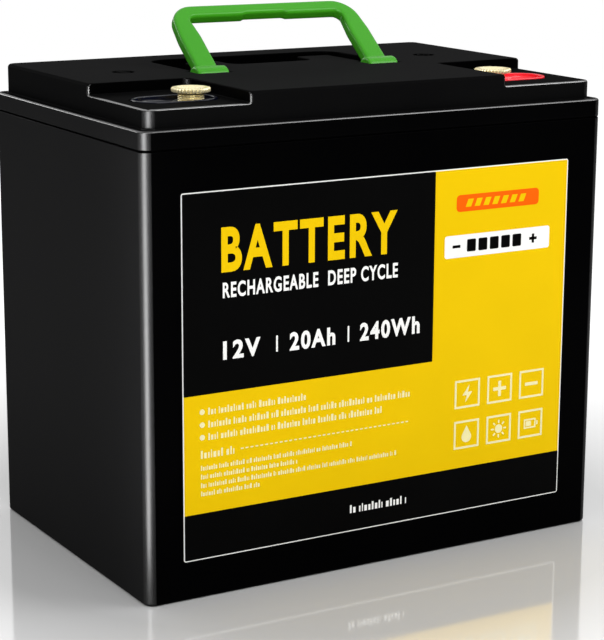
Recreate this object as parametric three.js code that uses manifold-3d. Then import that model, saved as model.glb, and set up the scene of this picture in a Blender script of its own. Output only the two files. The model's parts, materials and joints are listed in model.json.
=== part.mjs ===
// Deep cycle battery: a sealed plastic case with a clipped lid, two brass terminals in
// corner wells, a fold-down carrying handle, and a pack of four prismatic cells inside.
// Millimetres, +Z up. The origin is the centre of the case's underside, the label faces -Y.
import * as THREE from 'three';
import { mergeVertices } from 'three/addons/utils/BufferGeometryUtils.js';
import Module from 'manifold-3d';

const wasm = await Module();
wasm.setup();

// ---- Driving dimensions ----
const gap = 0.3;
const caseWidth = 195;
const caseDepth = 130;
const seamHeight = 162;
const caseWall = 3;
const caseFloor = 3.5;
const cornerRadius = 4;
const edgeChamfer = 0.8;

const flangeTop = 169;
const upperInset = 3.2;
const platformTop = 180;
const platformBevel = 0.8;
const lidSkin = 3.4;
const lidWall = 2.8;
const lipDepth = 6.5;
const lipInset = 3.4;
const hookBase = 156;
const hookHeight = 2;
const hookReach = 0.9;
const hookLength = 12;
const hookClearance = 0.35;

const wellFloor = 175.8;
const wellInnerX = 54;
const wellBackY = -15;
const wellSkin = 2.6;

const terminalX = 65;
const terminalY = -38;
const terminalDiscRadius = 7;
const terminalDiscTop = 179.6;
const terminalDiscThickness = 1.7;
const terminalNeckRadius = 4.8;
const terminalBoreRadius = 2.6;
const terminalBottom = 163.2;
const polarityRadius = 9.8;
const polarityStretch = 13;
const polarityRecess = 3.3;

const markX = 67;
const markY = 13;
const markRadius = 3.9;
const markLine = 0.9;
const markDepth = 0.8;
const signHalfLength = 2.1;
const signHalfWidth = 0.5;

const handlePivotZ = 177.4;
const handleLean = THREE.MathUtils.degToRad(52);
const handleLegX = 37.5;
const handleLegWidth = 9;
const handleBarWidth = 6;
const handleReach = 34.5;
const handleThickness = 4.8;
const handleOuterRadius = 10;
const handleInnerRadius = 3;
const handleFootRadius = 4.6;
const handleFootLength = 13;
const handleTrunnionRadius = 1.6;
const handleTrunnionLength = 2;
const handleRecessBack = 46;
const handleClearance = 0.5;

const labelLeft = -83;
const labelRight = 82;
const labelBottom = 14.3;
const labelTop = 147;
const labelThickness = 0.4;

const cellCount = 4;
const cellThickness = 27;
const cellWidth = 70;
const cellHeight = 131;
const cellPitch = 28.1;
const cellBase = 8.4;
const cellPostY = 22;
const cellPostRadius = 6;
const cellPostHeight = 2.5;
const linkThickness = 1.5;
const leadRadius = 2;

const cellTop = cellBase + cellHeight;
const linkBase = cellTop + cellPostHeight + gap;
const linkScrewBase = linkBase + linkThickness + gap;
const framePlateBase = linkScrewBase + 4.6;
const boardBase = framePlateBase + 4.5;
const boardTop = boardBase + 1.6;

// ---- Materials ----
function material(color, roughness, metalness = 0) {
  return new THREE.MeshStandardMaterial({ color, roughness, metalness });
}

const caseBlack = material(0x141414, 0.42);
const lidBlack = material(0x1a1a1a, 0.4);
const handleGreen = material(0x50b228, 0.28);
const brass = material(0xd9b95a, 0.25, 1);
const copper = material(0xc88a5c, 0.3, 1);
const aluminium = material(0xb9bcc0, 0.4, 1);
const steel = material(0xa9adb2, 0.32, 1);
const redPlastic = material(0xe61c2b, 0.35);
const navyPlastic = material(0x11182b, 0.25);
const rubberBlack = material(0x101212, 0.8);
const labelYellow = material(0xf6cf06, 0.4);
const cellBlue = material(0x2c5d9c, 0.45);
const insulationCream = material(0xe9e2cc, 0.7);
const innerGrey = material(0x5b5f63, 0.6);
const foamGrey = material(0x6e6e70, 0.95);
const boardGreen = material(0x1c6b3a, 0.5);
const connectorWhite = material(0xeeece4, 0.5);
const leadRed = material(0xb3151c, 0.55);
const leadBlack = material(0x151515, 0.55);

// ---- Solids: closed meshes joined and cut ----
function solid(geometry) {
  const bare = geometry.index ? geometry.toNonIndexed() : geometry.clone();
  bare.deleteAttribute('normal');
  bare.deleteAttribute('uv');
  const merged = mergeVertices(bare, 1e-4);
  const vertProperties = new Float32Array(merged.attributes.position.array);
  const triVerts = new Uint32Array(merged.index.array);
  return new wasm.Manifold(new wasm.Mesh({ numProp: 3, vertProperties, triVerts }));
}

function geometryOf(shape) {
  const mesh = shape.getMesh();
  const geometry = new THREE.BufferGeometry();
  geometry.setAttribute('position', new THREE.BufferAttribute(mesh.vertProperties, 3));
  geometry.setIndex(new THREE.BufferAttribute(mesh.triVerts, 1));
  geometry.computeVertexNormals();
  return geometry;
}

function union(...shapes) {
  return shapes.reduce((whole, shape) => whole.add(shape));
}

function cut(shape, ...tools) {
  return tools.reduce((rest, tool) => rest.subtract(tool), shape);
}

// A rectangle with round corners, centred on a point.
function roundedRectangle(width, depth, radius, x = 0, y = 0) {
  const shape = new THREE.Shape();
  const right = x + width / 2 - radius;
  const left = x - width / 2 + radius;
  const back = y + depth / 2 - radius;
  const front = y - depth / 2 + radius;
  shape.absarc(right, front, radius, -Math.PI / 2, 0);
  shape.absarc(right, back, radius, 0, Math.PI / 2);
  shape.absarc(left, back, radius, Math.PI / 2, Math.PI);
  shape.absarc(left, front, radius, Math.PI, Math.PI * 1.5);
  return shape;
}

// A flat outline raised from z0 to z1, with an optional 45 degree chamfer on both ends.
function plate(shape, z0, z1, chamfer = 0, curveSegments = 3) {
  const geometry = new THREE.ExtrudeGeometry(shape, {
    depth: z1 - z0 - 2 * chamfer,
    bevelEnabled: chamfer > 0,
    bevelThickness: chamfer,
    bevelSize: chamfer,
    bevelOffset: -chamfer,
    bevelSegments: 1,
    curveSegments,
  });
  geometry.translate(0, 0, z0 + chamfer);
  return solid(geometry);
}

function box(x0, x1, y0, y1, z0, z1) {
  const geometry = new THREE.BoxGeometry(x1 - x0, y1 - y0, z1 - z0);
  geometry.translate((x0 + x1) / 2, (y0 + y1) / 2, (z0 + z1) / 2);
  return solid(geometry);
}

function upright(radius, x, y, z0, z1, sides = 20) {
  const geometry = new THREE.CylinderGeometry(radius, radius, z1 - z0, sides);
  geometry.rotateX(Math.PI / 2);
  geometry.translate(x, y, (z0 + z1) / 2);
  return solid(geometry);
}

// A turned disc with a chamfered upper edge.
function turnedHead(radius, x, y, z0, z1, chamfer) {
  const profile = [[0, z0], [radius, z0], [radius, z1 - chamfer], [radius - chamfer, z1], [0, z1]];
  const geometry = new THREE.LatheGeometry(profile.map((point) => new THREE.Vector2(...point)), 24);
  geometry.rotateX(Math.PI / 2);
  geometry.translate(x, y, 0);
  return solid(geometry);
}

function crosswise(radius, x0, x1, y, z, sides = 20) {
  const geometry = new THREE.CylinderGeometry(radius, radius, x1 - x0, sides);
  geometry.rotateZ(Math.PI / 2);
  geometry.translate((x0 + x1) / 2, y, z);
  return solid(geometry);
}

// A round wire along a smooth curve through the given points.
function wire(points, radius, steps = 14) {
  const path = new THREE.CatmullRomCurve3(points.map((point) => new THREE.Vector3(...point)));
  const section = new THREE.Shape();
  section.absarc(0, 0, radius, 0, Math.PI * 2);
  return solid(new THREE.ExtrudeGeometry(section, {
    steps, extrudePath: path, curveSegments: 4, bevelEnabled: false,
  }));
}

// ---- The assembly ----
const battery = new THREE.Group();

function add(name, shape, look) {
  const mesh = new THREE.Mesh(geometryOf(shape), look);
  mesh.name = name;
  battery.add(mesh);
  return mesh;
}

const sides = [
  { word: 'left', charge: 'negative', sign: -1, polarity: navyPlastic, lead: leadBlack },
  { word: 'right', charge: 'positive', sign: 1, polarity: redPlastic, lead: leadRed },
];

// Snap hooks round the lid's lip, flat on top and sloping below. Grown, they are the pockets in the case.
function snapHooks(grow) {
  const low = hookBase - grow;
  const high = hookBase + hookHeight + grow;
  const reach = hookReach + grow;
  const half = hookLength / 2 + grow;
  const section = new THREE.Shape([
    new THREE.Vector2(-1, low),
    new THREE.Vector2(grow, low),
    new THREE.Vector2(reach, high - 0.8),
    new THREE.Vector2(reach, high),
    new THREE.Vector2(-1, high),
  ]);
  const lipX = caseWidth / 2 - lipInset;
  const lipY = caseDepth / 2 - lipInset;
  const up = new THREE.Vector3(0, 0, 1);
  const places = [
    [lipX, 0, 0], [-lipX, 0, Math.PI],
    [55, lipY, Math.PI / 2], [-55, lipY, Math.PI / 2],
    [55, -lipY, -Math.PI / 2], [-55, -lipY, -Math.PI / 2],
  ];
  return union(...places.map(([x, y, turn]) => {
    const outward = new THREE.Vector3(Math.cos(turn), Math.sin(turn), 0);
    const along = outward.clone().cross(up);
    const geometry = new THREE.ExtrudeGeometry(section, { depth: 2 * half, bevelEnabled: false });
    geometry.translate(0, 0, -half);
    geometry.applyMatrix4(new THREE.Matrix4().makeBasis(outward, up, along));
    geometry.translate(x, y, 0);
    return solid(geometry);
  }));
}

// Case: an open-topped tub with a ledge for the gasket and pockets for the lid's hooks.
function makeCase() {
  const inside = roundedRectangle(caseWidth - 2 * caseWall, caseDepth - 2 * caseWall, 2);
  const ledgeInset = caseWall / 2;
  const ledge = roundedRectangle(caseWidth - 2 * ledgeInset, caseDepth - 2 * ledgeInset, 3);
  const shell = cut(
    plate(roundedRectangle(caseWidth, caseDepth, cornerRadius), 0, seamHeight, edgeChamfer),
    plate(inside, caseFloor, seamHeight + 5),
    plate(ledge, seamHeight - 1.5, seamHeight + 5),
    box(
      labelLeft - gap, labelRight + gap,
      -caseDepth / 2 - 1, -caseDepth / 2 + labelThickness + gap,
      labelBottom - gap, labelTop + gap,
    ),
    snapHooks(hookClearance),
  );
  add('case_shell', shell, caseBlack);
}

function makeGasket() {
  const outerInset = caseWall / 2 + gap;
  const ring = roundedRectangle(caseWidth - 2 * outerInset, caseDepth - 2 * outerInset, 2.7);
  ring.holes.push(roundedRectangle(caseWidth - 2 * caseWall, caseDepth - 2 * caseWall, 2));
  add('lid_gasket', plate(ring, seamHeight - 1.2, seamHeight), rubberBlack);
}

// The handle's outline, seen square on: two legs and a bar. Growing it gives its recess.
function handleOutline(grow, back) {
  const outerX = handleLegX + handleLegWidth / 2 + grow;
  const innerX = handleLegX - handleLegWidth / 2 - grow;
  const innerY = handleReach - handleBarWidth / 2 - grow;
  const outerR = handleOuterRadius + grow;
  const innerR = Math.max(handleInnerRadius - grow, 0.5);
  const shape = new THREE.Shape();
  shape.moveTo(outerX, 0);
  shape.lineTo(outerX, back - outerR);
  shape.absarc(outerX - outerR, back - outerR, outerR, 0, Math.PI / 2);
  shape.absarc(-outerX + outerR, back - outerR, outerR, Math.PI / 2, Math.PI);
  shape.lineTo(-outerX, 0);
  shape.lineTo(-innerX, 0);
  shape.absarc(-innerX + innerR, innerY - innerR, innerR, Math.PI, Math.PI / 2, true);
  if (grow === 0) {
    const reliefX = 9;
    const reliefDepth = 0.7;
    shape.lineTo(-reliefX, innerY);
    shape.lineTo(-reliefX + reliefDepth, innerY + reliefDepth);
    shape.lineTo(reliefX - reliefDepth, innerY + reliefDepth);
    shape.lineTo(reliefX, innerY);
  }
  shape.absarc(innerX - innerR, innerY - innerR, innerR, Math.PI / 2, 0, true);
  shape.lineTo(innerX, 0);
  return shape;
}

function stadium(radius, x, y, stretch) {
  const shape = new THREE.Shape();
  const far = Math.max(x, x + stretch);
  const near = Math.min(x, x + stretch);
  shape.absarc(far, y, radius, -Math.PI / 2, Math.PI / 2);
  shape.absarc(near, y, radius, Math.PI / 2, Math.PI * 1.5);
  return shape;
}

// Where a hinge foot sits: a round trough, open above, with blind holes for the trunnions.
function footPocket(x, wall) {
  const radius = handleFootRadius + 0.4 + wall;
  const half = handleFootLength / 2 + 0.4 + wall;
  const trunnion = handleFootLength / 2 + handleTrunnionLength + 0.4 + wall;
  return union(
    crosswise(radius, x - half, x + half, 0, handlePivotZ),
    crosswise(handleTrunnionRadius + 0.4 + wall, x - trunnion, x + trunnion, 0, handlePivotZ),
    box(x - half, x + half, -radius, radius, handlePivotZ, platformTop + 5),
  );
}

// Everything that is sunk into the lid's top, widened by a wall for the skin under it.
function lidSunkParts(wall) {
  const recessFloor = handlePivotZ - handleThickness / 2 - handleClearance;
  const fingerWidth = 36;
  const fingerFront = 17;
  const parts = [
    plate(
      handleOutline(handleClearance + wall, handleRecessBack + wall),
      recessFloor - wall, platformTop + 5,
    ),
    plate(
      roundedRectangle(
        fingerWidth + 2 * wall, handleRecessBack - fingerFront + 2 * wall, 5,
        0, (handleRecessBack + fingerFront) / 2,
      ),
      recessFloor - 2.3 - wall,
      platformTop + 5,
    ),
  ];
  for (const side of sides) {
    const wellWidth = caseWidth / 2 - wellInnerX + 5 + wall;
    const wellDepth = caseDepth / 2 + wellBackY + 5 + wall;
    const wellCentreX = side.sign * (wellInnerX - wall + wellWidth / 2);
    const wellCentreY = wellBackY + wall - wellDepth / 2;
    parts.push(
      plate(
        roundedRectangle(wellWidth, wellDepth, 2.5, wellCentreX, wellCentreY),
        wellFloor - (wall > 0 ? wellSkin : 0),
        platformTop + 5,
      ),
      plate(
        stadium(polarityRadius + wall, side.sign * terminalX, terminalY, side.sign * polarityStretch),
        wellFloor - polarityRecess - wall,
        platformTop + 5,
        0,
        7,
      ),
      footPocket(side.sign * handleLegX, wall),
    );
  }
  return union(...parts);
}

// The groove of a polarity mark behind a terminal: a ring round a minus or a plus.
function polarityMark(sign) {
  const x = sign * markX;
  const base = platformTop - markDepth;
  const top = platformTop + 1;
  const ring = cut(
    upright(markRadius, x, markY, base, top, 28),
    upright(markRadius - markLine, x, markY, base - 1, top + 1, 28),
  );
  const bar = (halfX, halfY) => box(x - halfX, x + halfX, markY - halfY, markY + halfY, base, top);
  const minus = bar(signHalfLength, signHalfWidth);
  return sign < 0 ? union(ring, minus) : union(ring, minus, bar(signHalfWidth, signHalfLength));
}

function makeLid() {
  const lidBase = seamHeight + gap;
  const upperWidth = caseWidth - 2 * upperInset;
  const upperDepth = caseDepth - 2 * upperInset;
  const cavityWidth = upperWidth - 2 * lidWall;
  const cavityDepth = upperDepth - 2 * lidWall;
  const lip = roundedRectangle(caseWidth - 2 * lipInset, caseDepth - 2 * lipInset, 2);
  const lipInside = lipInset + 2;
  lip.holes.push(roundedRectangle(caseWidth - 2 * lipInside, caseDepth - 2 * lipInside, 1));

  let outside = union(
    plate(roundedRectangle(caseWidth, caseDepth, cornerRadius), lidBase, flangeTop, edgeChamfer),
    plate(
      roundedRectangle(upperWidth, upperDepth, cornerRadius),
      lidBase + 0.5, platformTop, platformBevel,
    ),
  );
  const cavity = cut(
    plate(roundedRectangle(cavityWidth, cavityDepth, 2), lidBase - 1, platformTop - lidSkin),
    lidSunkParts(2.2),
  );
  outside = cut(outside, cavity, lidSunkParts(0));
  outside = union(outside, plate(lip, seamHeight - lipDepth, lidBase + 1), snapHooks(0));
  for (const side of sides) {
    outside = cut(
      outside,
      polarityMark(side.sign),
      upright(terminalNeckRadius + 0.35, side.sign * terminalX, terminalY, lidBase, platformTop),
    );
  }
  add('lid', outside, lidBlack);
}

function makeLabel() {
  const front = -caseDepth / 2;
  const label = box(labelLeft, labelRight, front, front + labelThickness, labelBottom, labelTop);
  add('front_label', label, labelYellow);
}

// Terminals: a serrated brass disc on a threaded neck, a seal, and a nut and lug under the lid.
function serratedDisc(x, y) {
  const teeth = 24;
  const shape = new THREE.Shape();
  for (let i = 0; i < teeth * 2; i += 1) {
    const angle = (i * Math.PI) / teeth;
    const radius = terminalDiscRadius - (i % 2) * 0.5;
    const px = x + radius * Math.cos(angle);
    const py = y + radius * Math.sin(angle);
    if (i === 0) {
      shape.moveTo(px, py);
    } else {
      shape.lineTo(px, py);
    }
  }
  shape.closePath();
  return plate(shape, terminalDiscTop - terminalDiscThickness, terminalDiscTop);
}

function makeTerminals() {
  const neckTop = terminalDiscTop - terminalDiscThickness;
  const plateBase = wellFloor - polarityRecess + gap;
  const dishFloor = plateBase + 0.9;
  const bossBottom = wellFloor - polarityRecess - 2.2;
  const lugTop = bossBottom - gap;
  const lugBase = lugTop - 1.4;
  const nutTop = lugBase - gap;
  const nutBase = nutTop - 4;
  for (const side of sides) {
    const x = side.sign * terminalX;
    const stretch = side.sign * polarityStretch;
    const terminal = cut(
      union(
        serratedDisc(x, terminalY),
        upright(terminalNeckRadius, x, terminalY, terminalBottom, neckTop + 0.5),
      ),
      upright(terminalBoreRadius, x, terminalY, terminalBottom + 3, terminalDiscTop + 1, 20),
    );
    add(`terminal_${side.charge}`, terminal, brass);

    const polarity = cut(
      plate(stadium(polarityRadius - gap, x, terminalY, stretch), plateBase, wellFloor + 0.3, 0, 7),
      plate(stadium(polarityRadius - 1.5, x, terminalY, stretch), dishFloor, wellFloor + 2, 0, 7),
      upright(terminalNeckRadius + 0.35, x, terminalY, plateBase - 1, dishFloor + 1),
    );
    add(`polarity_plate_${side.charge}`, polarity, side.polarity);

    const seal = cut(
      upright(6.6, x, terminalY, dishFloor + gap, dishFloor + 1.1, 24),
      upright(terminalNeckRadius + gap, x, terminalY, dishFloor - 1, dishFloor + 3, 24),
    );
    add(`terminal_seal_${side.charge}`, seal, rubberBlack);

    const nut = cut(
      upright(8.1, x, terminalY, nutBase, nutTop, 6),
      upright(terminalNeckRadius + gap, x, terminalY, nutBase - 1, nutTop + 1),
    );
    add(`terminal_nut_${side.charge}`, nut, steel);

    const lug = cut(
      union(
        upright(7.6, x, terminalY, lugBase, lugTop),
        box(x - 3, x + 3, terminalY, terminalY + 14, lugBase, lugTop),
        box(x - 2.4, x + 2.4, terminalY + 10, terminalY + 16, lugBase - 1.7, lugTop),
      ),
      upright(terminalNeckRadius + gap, x, terminalY, lugBase - 3, lugTop + 1),
    );
    add(`terminal_lug_${side.charge}`, lug, copper);
  }
  return (lugBase + lugTop - 1.7) / 2;
}

function makeHandle() {
  const edge = 1.3;
  const geometry = new THREE.ExtrudeGeometry(handleOutline(0, handleReach + handleBarWidth / 2), {
    depth: handleThickness - 2 * edge,
    bevelEnabled: true,
    bevelThickness: edge,
    bevelSize: edge,
    bevelOffset: -edge,
    bevelSegments: 2,
    curveSegments: 6,
  });
  geometry.translate(0, 0, -handleThickness / 2 + edge);
  let handle = solid(geometry);
  for (const side of sides) {
    const x = side.sign * handleLegX;
    const foot = handleFootLength / 2;
    const trunnion = foot + handleTrunnionLength;
    handle = union(
      handle,
      crosswise(handleFootRadius, x - foot, x + foot, 0, 0),
      crosswise(handleTrunnionRadius, x - trunnion, x + trunnion, 0, 0, 12),
    );
  }
  const mesh = add('handle', handle, handleGreen);
  mesh.position.set(0, 0, handlePivotZ);
  mesh.rotation.x = Math.PI / 2 - handleLean;
}

// Cell pack: four prismatic cells in a row, joined in series by screwed links.
function cellX(index) {
  return (index - (cellCount - 1) / 2) * cellPitch;
}

function makeCells() {
  let screwNumber = 1;
  for (let i = 0; i < cellCount; i += 1) {
    const x = cellX(i);
    let cell = plate(roundedRectangle(cellThickness, cellWidth, 2, x, 0), cellBase, cellTop);
    for (const y of [-cellPostY, cellPostY]) {
      const postTop = cellTop + cellPostHeight;
      cell = union(cell, upright(cellPostRadius, x, y, cellTop - 1, postTop, 12));
      cell = cut(cell, upright(2.5, x, y, postTop - 8, postTop + 1, 8));
      const screw = union(
        upright(4.2, x, y, linkScrewBase, linkScrewBase + 3.6, 6),
        upright(2, x, y, postTop - 7, linkScrewBase + 1, 8),
      );
      add(`link_screw_${screwNumber}`, screw, steel);
      screwNumber += 1;
    }
    add(`cell_${i + 1}`, cell, cellBlue);
  }
  for (let i = 0; i < cellCount - 1; i += 1) {
    const middle = (cellX(i) + cellX(i + 1)) / 2;
    const y = i % 2 === 0 ? cellPostY : -cellPostY;
    const link = cut(
      plate(roundedRectangle(cellPitch + 15, 15, 3, middle, y), linkBase, linkBase + linkThickness),
      upright(2.5, cellX(i), y, linkBase - 1, linkScrewBase, 8),
      upright(2.5, cellX(i + 1), y, linkBase - 1, linkScrewBase, 8),
    );
    add(`series_link_${i + 1}`, link, copper);
    add(
      `cell_insulator_${i + 1}`,
      box(middle - 0.25, middle + 0.25, -cellWidth / 2, cellWidth / 2, cellBase + 0.5, cellTop - 1),
      insulationCream,
    );
  }
}

function makePackSupports() {
  const packHalfX = cellX(cellCount - 1) + cellThickness / 2;
  const packHalfY = cellWidth / 2;
  const trayInside = roundedRectangle(2 * packHalfX + 2 * gap, cellWidth + 2 * gap, 2);
  const trayOutside = roundedRectangle(2 * packHalfX + 4, cellWidth + 4, 3);
  add('cell_tray', cut(plate(trayOutside, 6.1, 20), plate(trayInside, cellBase - gap, 30)), innerGrey);
  add('base_pad', plate(roundedRectangle(116, 112, 3), caseFloor + gap, 5.8), foamGrey);

  for (const [word, z] of [['lower', 44], ['upper', 98]]) {
    const band = roundedRectangle(2 * packHalfX + 2.2, cellWidth + 2.2, 3);
    band.holes.push(roundedRectangle(2 * packHalfX + 2 * gap, cellWidth + 2 * gap, 2.2));
    add(`pack_band_${word}`, plate(band, z, z + 12), insulationCream);
  }

  const foamBase = 24;
  const foamTop = 132;
  for (const side of sides) {
    const inner = packHalfX + 1.6;
    const outer = caseWidth / 2 - caseWall - gap;
    const x0 = side.sign > 0 ? inner : -outer;
    const x1 = side.sign > 0 ? outer : -inner;
    add(`side_foam_${side.word}`, box(x0, x1, -packHalfY, packHalfY, foamBase, foamTop), foamGrey);
  }
  const endFoam = caseDepth / 2 - caseWall - gap;
  const foamHalf = packHalfX;
  add('front_foam', box(-foamHalf, foamHalf, -endFoam, -packHalfY - 1.6, foamBase, foamTop), foamGrey);
  add('rear_foam', box(-foamHalf, foamHalf, packHalfY + 1.6, endFoam, foamBase, foamTop), foamGrey);
}

// Battery management: a support frame over the links, a circuit board and its heat sink.
function makeManagement() {
  const standoffX = 46;
  const standoffY = 27;
  let frame = plate(roundedRectangle(110, 68, 4), framePlateBase, framePlateBase + 2);
  let board = plate(roundedRectangle(100, 62, 2), boardBase, boardTop);
  const corners = [[-1, -1], [1, -1], [-1, 1], [1, 1]];
  for (const [sx, sy] of corners) {
    const x = sx * standoffX;
    const y = sy * standoffY;
    frame = union(frame, upright(3.4, x, y, framePlateBase + 1, boardBase - gap, 10));
    frame = cut(frame, upright(1.7, x, y, framePlateBase - 1, boardBase + 1, 8));
    board = cut(board, upright(1.7, x, y, boardBase - 1, boardTop + 1, 8));
  }
  add('pack_frame', frame, innerGrey);
  add('management_board', board, boardGreen);
  corners.forEach(([sx, sy], index) => {
    const x = sx * standoffX;
    const y = sy * standoffY;
    const screw = union(
      upright(2.7, x, y, boardTop + gap, boardTop + 2.3, 8),
      upright(1.3, x, y, framePlateBase, boardTop + 1, 8),
    );
    add(`board_screw_${index + 1}`, screw, steel);
  });

  let sink = box(-34, 34, -10, 22, boardTop + gap, boardTop + 2.3);
  for (let fin = 0; fin < 7; fin += 1) {
    const x = -33 + fin * 10.6;
    sink = union(sink, box(x, x + 2.2, -10, 22, boardTop + 1.5, boardTop + 8));
  }
  add('heat_sink', sink, aluminium);
  const housing = cut(
    box(36, 42, -9, 9, boardTop + gap, boardTop + 6),
    box(37, 41, -8, 8, boardTop + 2, boardTop + 7),
  );
  add('balance_connector', housing, connectorWhite);
}

// Leads: from the end cells to the board and to the terminal lugs, each with a screwed lug.
function makeLeads(lugHeight) {
  const cellLugTop = linkBase + linkThickness;
  for (const side of sides) {
    const x = side.sign * cellX(cellCount - 1);
    const barrelStart = x + side.sign * 9;
    const barrelEnd = x + side.sign * 16;
    const lug = cut(
      union(
        upright(6.8, x, -cellPostY, linkBase, cellLugTop, 12),
        box(
          Math.min(x, barrelEnd), Math.max(x, barrelEnd),
          -cellPostY - 3, -cellPostY + 3, linkBase, cellLugTop,
        ),
        box(
          Math.min(barrelStart, barrelEnd), Math.max(barrelStart, barrelEnd),
          -cellPostY - 2.4, -cellPostY + 2.4, linkBase, linkBase + 4,
        ),
      ),
      upright(2.5, x, -cellPostY, linkBase - 1, linkScrewBase, 8),
    );
    add(`cell_lug_${side.charge}`, lug, copper);
  }

  const lugEndY = terminalY + 16 + gap;
  const cellEndX = cellX(cellCount - 1) + 16 + gap;
  const leadZ = linkBase + 2;
  add('lead_positive', wire([
    [cellEndX, -cellPostY, leadZ],
    [cellEndX + 5, -cellPostY, leadZ],
    [cellEndX + 12, -cellPostY + 4, leadZ + 6],
    [cellEndX + 12, -cellPostY + 9, leadZ + 13],
    [terminalX + 3, lugEndY + 10, lugHeight - 2],
    [terminalX, lugEndY + 5, lugHeight],
    [terminalX, lugEndY, lugHeight],
  ], leadRadius, 18), leadRed);
  add('lead_cell_to_board', wire([
    [-cellEndX, -cellPostY, leadZ],
    [-cellEndX - 5, -cellPostY, leadZ],
    [-cellEndX - 7, -cellPostY + 2, leadZ + 7],
    [-cellEndX - 1, -cellPostY + 5, boardTop + 3],
    [-50, -cellPostY + 5, boardTop + leadRadius + 0.8],
    [-44, -cellPostY + 5, boardTop + leadRadius + gap],
  ], leadRadius), leadBlack);
  add('lead_board_to_terminal', wire([
    [-40, 6, boardTop + leadRadius + gap],
    [-46, 6, boardTop + leadRadius + gap],
    [-56, 3, boardTop + leadRadius + 1.5],
    [-terminalX, lugEndY + 12, lugHeight - 2],
    [-terminalX, lugEndY + 5, lugHeight],
    [-terminalX, lugEndY, lugHeight],
  ], leadRadius), leadBlack);
}

makeCase();
makeGasket();
makeLid();
makeLabel();
const lugHeight = makeTerminals();
makeHandle();
makeCells();
makePackSupports();
makeManagement();
makeLeads(lugHeight);

export default battery;
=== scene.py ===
import json
import math

import bmesh
import bpy
from mathutils import Matrix, Vector


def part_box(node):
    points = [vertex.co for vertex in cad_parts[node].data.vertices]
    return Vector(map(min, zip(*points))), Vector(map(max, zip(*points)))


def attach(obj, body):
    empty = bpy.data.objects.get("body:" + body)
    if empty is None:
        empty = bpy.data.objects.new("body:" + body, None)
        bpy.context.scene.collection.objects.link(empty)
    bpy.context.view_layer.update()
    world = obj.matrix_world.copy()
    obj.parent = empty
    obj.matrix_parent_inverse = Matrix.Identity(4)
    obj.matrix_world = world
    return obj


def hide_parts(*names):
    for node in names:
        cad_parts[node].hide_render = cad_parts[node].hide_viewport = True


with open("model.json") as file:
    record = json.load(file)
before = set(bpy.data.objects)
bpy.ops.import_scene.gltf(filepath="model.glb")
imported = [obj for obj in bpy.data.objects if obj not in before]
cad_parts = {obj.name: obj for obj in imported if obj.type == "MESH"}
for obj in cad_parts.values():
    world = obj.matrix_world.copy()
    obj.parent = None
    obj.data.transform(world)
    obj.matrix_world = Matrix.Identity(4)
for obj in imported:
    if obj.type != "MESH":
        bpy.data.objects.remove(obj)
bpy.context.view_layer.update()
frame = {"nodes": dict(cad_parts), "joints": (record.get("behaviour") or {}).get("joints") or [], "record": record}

# ---- Sizes, in metres, worked out from the frame ----
MM = 0.001
_, case_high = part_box("case_shell")
lid_low, lid_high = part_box("lid")
label_low, label_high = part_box("front_label")
handle_low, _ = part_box("handle")
terminal_low, terminal_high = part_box("terminal_positive")
plate_low, plate_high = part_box("polarity_plate_positive")
seal_low, seal_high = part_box("terminal_seal_positive")
fold = frame["joints"][0]
hinge = Vector(fold["pos_m"])

half_width = case_high.x
half_depth = case_high.y
seam = case_high.z
platform = lid_high.z
lid_base = seam + 0.3 * MM
flange_top = platform - 11 * MM
shoulder = platform - 0.8 * MM
well_floor = platform - 4.2 * MM
well_inner_x = 54 * MM
well_back_y = -15 * MM
upper_inset = 3.2 * MM
corner_radius = 4 * MM
seam_edge = 0.55 * MM
mark_x = 67 * MM
mark_y = 13 * MM
mark_radius = 3.9 * MM
mark_line = 0.9 * MM
mark_depth = 0.8 * MM

terminal_x = (terminal_low.x + terminal_high.x) / 2
terminal_y = (terminal_low.y + terminal_high.y) / 2
disc_radius = (terminal_high.x - terminal_low.x) / 2
disc_top = terminal_high.z
disc_teeth = 34
neck_radius = 4.8 * MM
neck_hole_radius = neck_radius + 0.35 * MM
bore_radius = 2.6 * MM
dish_radius = (plate_high.y - plate_low.y) / 2
dish_stretch = plate_high.x - plate_low.x - 2 * dish_radius
dish_floor = seal_low.z - 0.3 * MM

leg_x = 37.5 * MM
leg_width = 9 * MM
bar_width = 6 * MM
handle_reach = 34.5 * MM
handle_thickness = 4.8 * MM
handle_lean = 52
foot_radius = hinge.y - handle_low.y
foot_length = 13 * MM
recess_back = 46 * MM
recess_clear = 0.5 * MM
recess_floor = hinge.z - handle_thickness / 2 - recess_clear


# ---- Mesh helpers ----
def object_of(name, bm):
    bmesh.ops.recalc_face_normals(bm, faces=bm.faces)
    mesh = bpy.data.meshes.new(name)
    bm.to_mesh(mesh)
    bm.free()
    made = bpy.data.objects.new(name, mesh)
    bpy.context.scene.collection.objects.link(made)
    return made


def loft(name, rings):
    """A closed solid through rings of the same number of 3-D points, capped at both ends."""
    bm = bmesh.new()
    loops = [[bm.verts.new(point) for point in ring] for ring in rings]
    for lower, upper in zip(loops, loops[1:]):
        count = len(lower)
        for i in range(count):
            j = (i + 1) % count
            bm.faces.new((lower[i], lower[j], upper[j], upper[i]))
    bm.faces.new(list(reversed(loops[0])))
    bm.faces.new(loops[-1])
    return object_of(name, bm)


def at_height(outline, z):
    """Lifts (x, y) points to a height."""
    return [(x, y, z) for x, y in outline]


def rounded_rectangle(low_x, high_x, low_y, high_y, radius, steps=10):
    corners = (
        (high_x - radius, low_y + radius, -90),
        (high_x - radius, high_y - radius, 0),
        (low_x + radius, high_y - radius, 90),
        (low_x + radius, low_y + radius, 180),
    )
    return [
        (x + radius * math.cos(angle), y + radius * math.sin(angle))
        for x, y, start in corners
        for angle in (math.radians(start + 90 * i / steps) for i in range(steps + 1))
    ]


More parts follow.
